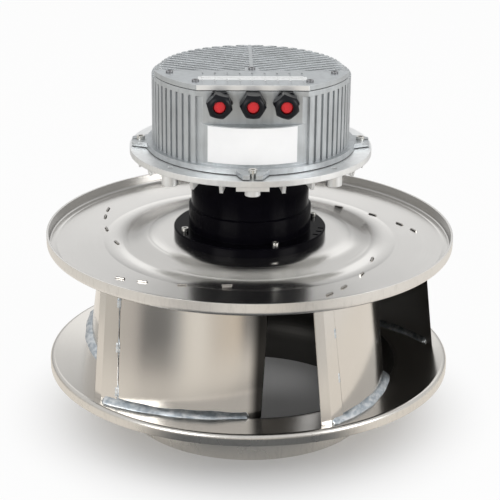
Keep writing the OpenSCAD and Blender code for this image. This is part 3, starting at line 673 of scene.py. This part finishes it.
def wave(distance, shift, rate, height):
    """Slow wave along a weld, which keeps it from looking even."""
    return height * math.sin(distance * rate + shift)


def ripple(distance, pitch, seed):
    """Swelling of a bead at a distance along it, as a share of its size."""
    uneven = wave(distance, seed, rate=97, height=0.5) + wave(distance, seed * 3, rate=43, height=0.3)
    strength = 0.5 + wave(distance, seed * 1.3, rate=59, height=0.5)
    scallop = abs(math.sin(math.pi * (distance / pitch + uneven))) * strength
    swell = wave(distance, seed * 1.7, rate=67, height=0.06) + wave(distance, seed, rate=151, height=0.04)
    return BEAD_MEAN + BEAD_SCALLOP * scallop + swell


def closed_tube(name, rings):
    """Smooth mesh through rings of points, closed at both ends."""
    mesh = bpy.data.meshes.new(name)
    sheet = bmesh.new()
    rings = [[sheet.verts.new(point) for point in ring] for ring in rings]
    for near, far in zip(rings, rings[1:]):
        count = len(near)
        for i in range(count):
            j = (i + 1) % count
            sheet.faces.new((near[i], near[j], far[j], far[i]))
    sheet.faces.new(rings[0])
    sheet.faces.new(list(reversed(rings[-1])))
    bmesh.ops.recalc_face_normals(sheet, faces=sheet.faces)
    sheet.to_mesh(mesh)
    sheet.free()
    for polygon in mesh.polygons:
        polygon.use_smooth = True
    return mesh


def weld_bead_mesh(name, foot, face, start, end, sizes, seed):
    """Fillet bead along a face of a blade's foot, with ripples that bow along it."""
    full_size = sizes.bead_radius if face == OUTER_FACE else sizes.inner_bead_radius
    rings = []
    travelled = 0.0
    last = None
    for step in range(sizes.bead_steps + 1):
        share = step / sizes.bead_steps
        spot, side, up = foot.point(start + (end - start) * share, face)
        if last is not None:
            travelled += (spot - last).length
        last = spot
        taper = min(1.0, BEAD_END + BEAD_GROWTH * min(share, 1 - share))
        base = spot - (side + up) * BEAD_SUNK
        ring = []
        for i in range(BEAD_POINTS + 1):
            rise = i / BEAD_POINTS
            bow = 4 * rise * (1 - rise)
            swelling = ripple(travelled + bow * sizes.bead_ripple, sizes.bead_ripple, seed)
            reach = side * (1 - rise + BEAD_BULGE * bow) + up * (rise + BEAD_BULGE * bow)
            ring.append(base + reach * full_size * swelling * taper)
        ring.append(base)
        rings.append(ring)
    return closed_tube(name, rings)


def seam_weld_mesh(name, foot, low, high, sizes, seed):
    """Thin bead of weld runs along the seam of a blade's folded strip."""
    steps = sizes.bead_steps // 2
    turns = [2 * math.pi * i / SEAM_POINTS for i in range(SEAM_POINTS)]
    rings = []
    for step in range(steps + 1):
        share = step / steps
        spot, out = foot.seam(low + (high - low) * share)
        side = Vector((-out.y, out.x, 0))
        runs = SEAM_FILL + wave(share, seed, rate=17, height=0.5) + wave(share, 2 * seed, rate=31, height=0.4)
        filled = min(1.0, max(0.0, runs))
        swelling = SEAM_THIN + SEAM_SWELL * filled + wave(share, seed, rate=210, height=0.05)
        size = sizes.seam_radius * swelling
        rings.append([
            spot + (out * math.cos(turn) * SEAM_FLATNESS + side * math.sin(turn)) * size for turn in turns
        ])
    return closed_tube(name, rings)


class FAN_OT_castings(bpy.types.Operator):
    """Finishes the housing, its lid and the motor flange"""

    bl_idname = "fan.castings"
    bl_label = "Castings"

    def execute(self, context):
        colours = context.scene.fan_colours
        # strips of the lid painted as highlights, the ridge and the front edge: lowest and highest Y and half
        # length along X
        ridge = (-76 * MM, -61.5 * MM, 63 * MM)
        front_edge = (-102 * MM, -100.6 * MM, 80 * MM)
        highlight_strips = [ridge, front_edge]
        housing = cast_metal("housing_casting", colours.housing, roughness=0.39, cloud=0.14, metal=0.7)
        lid = cast_metal("lid_casting", colours.housing, roughness=0.38, metal=0.75, highlight_strips=highlight_strips)
        flange = cast_metal("flange_casting", colours.flange, roughness=0.44, edge=1.2 * MM, cloud=0.06)
        dress(["electronics_housing"], housing)
        dress(["terminal_lid"], lid)
        dress(["motor_flange"], flange)
        return {"FINISHED"}


class FAN_OT_impeller(bpy.types.Operator):
    """Finishes the back plate, the blades and the shroud"""

    bl_idname = "fan.impeller"
    bl_label = "Impeller"

    def execute(self, context):
        colours = context.scene.fan_colours
        plate = spun_metal("plate_sheet", colours.plate, roughness=0.22, shaded_below=True, dish=PLATE_DISH)
        dress(["back_plate"], plate)
        dress(["shroud"], spun_metal("shroud_sheet", colours.shroud, roughness=0.19))
        dress(BLADE_NAMES, rolled_metal("blade_sheet", colours.blades, roughness=0.17))
        return {"FINISHED"}


class FAN_OT_welds(bpy.types.Operator):
    """Lays the beads between blades and shroud and the welds on the blades' seams"""

    bl_idname = "fan.welds"
    bl_label = "Weld beads"

    # where a bead stops short of the blade's ends, the heights of a seam weld, and what makes welds differ
    from_tip = math.radians(2.2)
    from_root = math.radians(0.6)
    seam_low = 85 * MM
    seam_high = 222 * MM
    seed_step = 2.1

    def execute(self, context):
        sizes = context.scene.fan_sizes
        foot = BladeFoot()
        metal = weld_metal("weld_metal")
        start = self.from_tip - foot.half_sweep
        end = foot.half_sweep - self.from_root
        for index in range(len(BLADE_NAMES)):
            number = index + 1
            seed = index * self.seed_step
            bead = weld_bead_mesh(f"bead_{number}", foot, OUTER_FACE, start, end, sizes, seed)
            inner = weld_bead_mesh(f"inner_bead_{number}", foot, INNER_FACE, start, end, sizes, seed + 1)
            seam = seam_weld_mesh(f"seam_{number}", foot, self.seam_low, self.seam_high, sizes, seed)
            turn = Matrix.Rotation(foot.first_angle + index * foot.step, 4, "Z")
            self.add_weld(context, f"weld_bead_{number}", bead, turn, metal)
            self.add_weld(context, f"inner_weld_bead_{number}", inner, turn, metal)
            self.add_weld(context, f"seam_weld_{number}", seam, turn, metal)
        return {"FINISHED"}

    def add_weld(self, context, name, mesh, turn, metal):
        """Turns a weld to its blade and lets it spin with the impeller."""
        mesh.transform(turn)
        mesh.materials.append(metal)
        weld = bpy.data.objects.new(name, mesh)
        context.scene.collection.objects.link(weld)
        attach(weld, "impeller")


class FAN_OT_rotor(bpy.types.Operator):
    """Finishes the rotor, the shaft and the bearings"""

    bl_idname = "fan.rotor"
    bl_label = "Rotor and bearings"

    def execute(self, context):
        colours = context.scene.fan_colours
        dress(["rotor_cup"], gloss_paint("rotor_paint", colours.rotor))
        dress(["rotor_magnets"], moulded("magnet_ferrite", (0.05, 0.05, 0.055), roughness=0.55))
        dress(
            [
                "shaft", "bearing_tube", "bearing_cap", "upper_outer_ring", "lower_outer_ring",
                "upper_inner_ring", "lower_inner_ring", "upper_balls", "lower_balls",
                "spring_washer", "retaining_ring",
            ],
            turned_metal("ground_steel", (0.66, 0.67, 0.69), roughness=0.22),
        )
        return {"FINISHED"}


class FAN_OT_stator(bpy.types.Operator):
    """Finishes the stator stack and its coils"""

    bl_idname = "fan.stator"
    bl_label = "Stator"

    def execute(self, context):
        dress(["stator_core"], layered_steel("stack_steel", (0.36, 0.37, 0.39)))
        dress(["coil_insulation"], moulded("coil_ivory", (0.72, 0.67, 0.52), roughness=0.5))
        dress(["stator_coils", "line_choke"], wound_wire("coil_wire", (0.62, 0.26, 0.10)))
        return {"FINISHED"}


class FAN_OT_electronics(bpy.types.Operator):
    """Finishes the board and what stands on it"""

    bl_idname = "fan.electronics"
    bl_label = "Electronics"

    def execute(self, context):
        dress(["power_board"], moulded("board_lacquer", (0.02, 0.16, 0.06), roughness=0.35))
        dress(["board_posts"], turned_metal("post_brass", (0.72, 0.53, 0.22), roughness=0.28))
        dress(["capacitors"], moulded("can_sleeve", (0.02, 0.03, 0.09), roughness=0.3))
        dress(["power_module"], moulded("module_resin", (0.02, 0.02, 0.02), roughness=0.5))
        dress(["terminal_blocks"], moulded("terminal_green", (0.08, 0.34, 0.18), roughness=0.45))
        return {"FINISHED"}


class FAN_OT_glands(bpy.types.Operator):
    """Finishes the glands, their plugs and the seals"""

    bl_idname = "fan.glands"
    bl_label = "Glands and seals"

    def execute(self, context):
        colours = context.scene.fan_colours
        plastic = moulded("gland_plastic", colours.gland, roughness=0.3, shine=0.2)
        dress(["gland_bodies", "gland_caps", "gland_locknuts"], plastic)
        dress(["gland_plugs"], moulded("plug_plastic", colours.plug, roughness=0.28, spread=0.1))
        dress(["flange_seal", "lid_seal"], moulded("seal_rubber", (0.02, 0.02, 0.02), roughness=0.6))
        return {"FINISHED"}


class FAN_OT_fasteners(bpy.types.Operator):
    """Finishes screws, nuts and the bare plate"""

    bl_idname = "fan.fasteners"
    bl_label = "Fasteners and bare plate"

    def execute(self, context):
        colours = context.scene.fan_colours
        dress(
            ["housing_screws", "foot_screws", "foot_nuts"],
            turned_metal("plated_steel", (0.70, 0.69, 0.66), roughness=0.26),
        )
        # the lid's screws are painted darker, as shade in their recesses
        dress(["lid_screws"], turned_metal("recess_shaded_steel", (0.30, 0.30, 0.31), roughness=0.42))
        white = moulded("plate_white", colours.plate_white, roughness=0.38, grain=500.0, spread=0.03)
        dress(["bare_plate"], white)
        return {"FINISHED"}


class FAN_OT_stage(bpy.types.Operator):
    """Sets the floor, the light and the camera"""

    bl_idname = "fan.stage"
    bl_label = "Stage"

    # boards from the left of the front to its right, which only reflections show, and the board behind
    front_boards = [
        (0.0, (0.66, 0.64, 0.60)),
        (0.10, (0.62, 0.59, 0.54)),
        (0.18, (0.50, 0.47, 0.44)),
        (0.215, (0.12, 0.118, 0.115)),
        (0.31, (0.10, 0.10, 0.10)),
        (0.36, (0.42, 0.42, 0.41)),
        (0.40, (0.88, 0.84, 0.77)),
        (0.46, (0.94, 0.90, 0.84)),
        (0.53, (0.70, 0.645, 0.57)),
        (0.635, (0.74, 0.64, 0.52)),
        (0.665, (0.10, 0.10, 0.10)),
        (0.74, (0.12, 0.12, 0.12)),
        (0.80, (0.70, 0.68, 0.65)),
        (1.0, (0.92, 0.90, 0.87)),
    ]
    back_board = (0.56, 0.56, 0.56, 1)
    back_from = (0.5, 0.86)
    sky = (0.82, 0.82, 0.82, 1)
    sky_strength = 0.87
    # heights of a direction between which boards turn to sky, in front and behind,
    # and how far back a direction looks where behind starts
    sky_front = (0.02, 0.30)
    sky_back = (0.19, 0.34)
    sky_turn = (0.3, 0.6)

    # what metal sees of the floor: warm paper, a dark strip where a place lies far enough ahead,
    # and the boards further out
    warm_paper = (0.92, 0.87, 0.80, 1)
    dark_paper = (0.06, 0.068, 0.076, 1)
    strip_from = (0.66, 0.90)
    # distances from the axis, in metres, between which the floor changes
    strip_end = (0.52, 0.66)
    boards_start = (0.74, 0.98)
    mirror_start = (0.14, 0.24)
    white_start = (0.15, 0.32)
    # shares of the mirrored studio, and of white for the camera under the part and around it
    mirror_most = 0.92
    white_least = 0.02
    white_gain = 0.91

    # name, place and size in metres, and power in watts of each lamp, and the point that they face
    lamps = [
        ("key_softbox", (-1.5, -1.8, 1.1), (1.3, 1.1), 20.0),
        ("fill_softbox", (2.0, -1.3, 1.1), (1.1, 1.1), 19.0),
        ("back_softbox", (0.2, 1.9, 1.6), (2.2, 1.0), 3.0),
    ]
    lit_point = (0, 0, 0.25)

    def execute(self, context):
        self.make_floor(context)
        self.make_world(context)
        self.make_lamps(context)
        self.make_camera(context)
        context.scene.view_settings.view_transform = "Standard"
        return {"FINISHED"}

    def make_floor(self, context):
        half_side = 12.0
        below_rim = 0.2 * MM
        mesh = bpy.data.meshes.new("floor")
        corners = [(x * half_side, y * half_side, 0) for x, y in ((-1, -1), (1, -1), (1, 1), (-1, 1))]
        mesh.from_pydata(corners, [], [(0, 1, 2, 3)])
        floor = bpy.data.objects.new("floor", mesh)
        floor.location.z = -below_rim
        context.scene.collection.objects.link(floor)
        mesh.materials.append(self.floor_paper())

    def floor_paper(self):
        """Pale paper that is white to the camera outside the shadow, and shows the studio to metal."""
        material, shader = new_shader("floor_paper")
        place = shader.place()
        far = shader.axis_distance(place)
        way = shader.level(place)
        [ahead] = shader.split(way, "Y")
        paper = shader.noise(place, 3.0, detail=2.0)
        matt = shader.add("ShaderNodeBsdfDiffuse", None, {
            "Color": shader.blend(paper, (0.80, 0.80, 0.80, 1), (0.84, 0.84, 0.84, 1)),
        })
        white = shader.add("ShaderNodeEmission", None, {"Color": (1, 1, 1, 1), "Strength": 1.0})
        dark_strip = shader.step(0.0 - ahead, *self.strip_from) * (1 - shader.step(far, *self.strip_end))
        near = shader.blend(dark_strip, self.warm_paper, self.dark_paper)
        boards = shader.blend(shader.step(far, *self.boards_start), near, self.boards(shader, way))
        mirror = shader.add("ShaderNodeEmission", None, {"Color": boards})
        seen = shader.add("ShaderNodeLightPath", output="Is Camera Ray")
        mirrored = shader.add("ShaderNodeLightPath", output="Is Glossy Ray")
        mirror_share = mirrored * shader.step(far, *self.mirror_start) * self.mirror_most
        white_share = seen * (self.white_least + shader.step(far, *self.white_start) * self.white_gain)
        as_mirror = shader.add("ShaderNodeMixShader", None, {0: mirror_share, 1: matt, 2: mirror})
        as_seen = shader.add("ShaderNodeMixShader", None, {0: white_share, 1: as_mirror, 2: white})
        shader.add("ShaderNodeOutputMaterial", None, {"Surface": as_seen})
        return material

    def boards(self, shader, way):
        """The studio's boards in a level direction."""
        across, ahead = shader.split(way, "XY")
        front = shader.ramp(across * 0.5 + 0.5, self.front_boards)
        behind = shader.step(ahead, *self.back_from)
        return shader.blend(behind, front, self.back_board)

    def make_world(self, context):
        """White sky for the camera, and the studio for everything else."""
        world = bpy.data.worlds.new("studio")
        context.scene.world = world
        shader = Shader(world)
        way = shader.add("ShaderNodeTexCoord", output="Generated")
        ahead, height = shader.split(way, "YZ")
        low = self.boards(shader, way)
        over_front = shader.step(height, *self.sky_front)
        over_back = shader.step(height, *self.sky_back)
        over = over_front + shader.step(ahead, *self.sky_turn) * (over_back - over_front)
        studio = shader.blend(over, low, self.sky)
        around = shader.add("ShaderNodeBackground", None, {"Color": studio, "Strength": self.sky_strength})
        white = shader.add("ShaderNodeBackground", None, {"Color": (1, 1, 1, 1), "Strength": 1.0})
        seen = shader.add("ShaderNodeLightPath", output="Is Camera Ray")
        both = shader.add("ShaderNodeMixShader", None, {0: seen, 1: around, 2: white})
        shader.add("ShaderNodeOutputWorld", None, {"Surface": both})

    def make_lamps(self, context):
        for name, place, size, power in self.lamps:
            lamp = bpy.data.lights.new(name, "AREA")
            lamp.shape = "RECTANGLE"
            lamp.size, lamp.size_y = size
            lamp.energy = power
            holder = bpy.data.objects.new(name, lamp)
            holder.location = place
            aim = Vector(self.lit_point) - Vector(place)
            holder.rotation_mode = "QUATERNION"
            holder.rotation_quaternion = aim.to_track_quat("-Z", "Y")
            context.scene.collection.objects.link(holder)

    def make_camera(self, context):
        distance = 2.05
        rise = math.radians(20.55)
        turn = math.radians(-1.2)
        roll = math.radians(0.58)
        target = Vector((0, 0, 0.2122))
        focal_px = 1648.0
        shift_px = 0.5
        image_px = 500.0
        back = Vector((
            math.sin(turn) * math.cos(rise),
            -math.cos(turn) * math.cos(rise),
            math.sin(rise),
        ))
        lens = bpy.data.cameras.new("photo_camera")
        lens.sensor_width = 36.0
        lens.lens = focal_px / image_px * lens.sensor_width
        lens.shift_x = shift_px / image_px
        lens.clip_end = 100.0
        camera = bpy.data.objects.new("photo_camera", lens)
        camera.location = target + back * distance
        camera.rotation_mode = "QUATERNION"
        facing = (-back).to_track_quat("-Z", "Y")
        camera.rotation_quaternion = facing @ Matrix.Rotation(roll, 3, "Z").to_quaternion()
        context.scene.collection.objects.link(camera)
        context.scene.camera = camera


OPERATORS = [
    FAN_OT_castings,
    FAN_OT_impeller,
    FAN_OT_welds,
    FAN_OT_rotor,
    FAN_OT_stator,
    FAN_OT_electronics,
    FAN_OT_glands,
    FAN_OT_fasteners,
    FAN_OT_stage,
]


class FAN_PT_dressing(bpy.types.Panel):
    """Lists the steps of the fan's dressing"""

    bl_label = "Plug fan"
    bl_idname = "FAN_PT_dressing"
    bl_space_type = "VIEW_3D"
    bl_region_type = "UI"
    bl_category = "Fan"

    def draw(self, context):
        for group in (context.scene.fan_sizes, context.scene.fan_colours):
            for key in group.__annotations__:
                self.layout.prop(group, key)
        for step in OPERATORS:
            self.layout.operator(step.bl_idname)


CLASSES = [FanSizes, FanColours, *OPERATORS, FAN_PT_dressing]


def register():
    for item in CLASSES:
        bpy.utils.register_class(item)
    bpy.types.Scene.fan_sizes = PointerProperty(type=FanSizes)
    bpy.types.Scene.fan_colours = PointerProperty(type=FanColours)


def unregister():
    del bpy.types.Scene.fan_colours
    del bpy.types.Scene.fan_sizes
    for item in reversed(CLASSES):
        bpy.utils.unregister_class(item)


def clear_start_scene():
    """Removes the lamps and cameras that a new file starts with."""
    for thing in list(bpy.data.objects):
        if thing.type in {"LIGHT", "CAMERA"} or thing.name == "Cube":
            bpy.data.objects.remove(thing)


def main():
    """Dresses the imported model."""
    clear_start_scene()
    register()
    bpy.ops.fan.castings()
    bpy.ops.fan.impeller()
    bpy.ops.fan.welds()
    bpy.ops.fan.rotor()
    bpy.ops.fan.stator()
    bpy.ops.fan.electronics()
    bpy.ops.fan.glands()
    bpy.ops.fan.fasteners()
    bpy.ops.fan.stage()


if __name__ == "__main__":
    main()
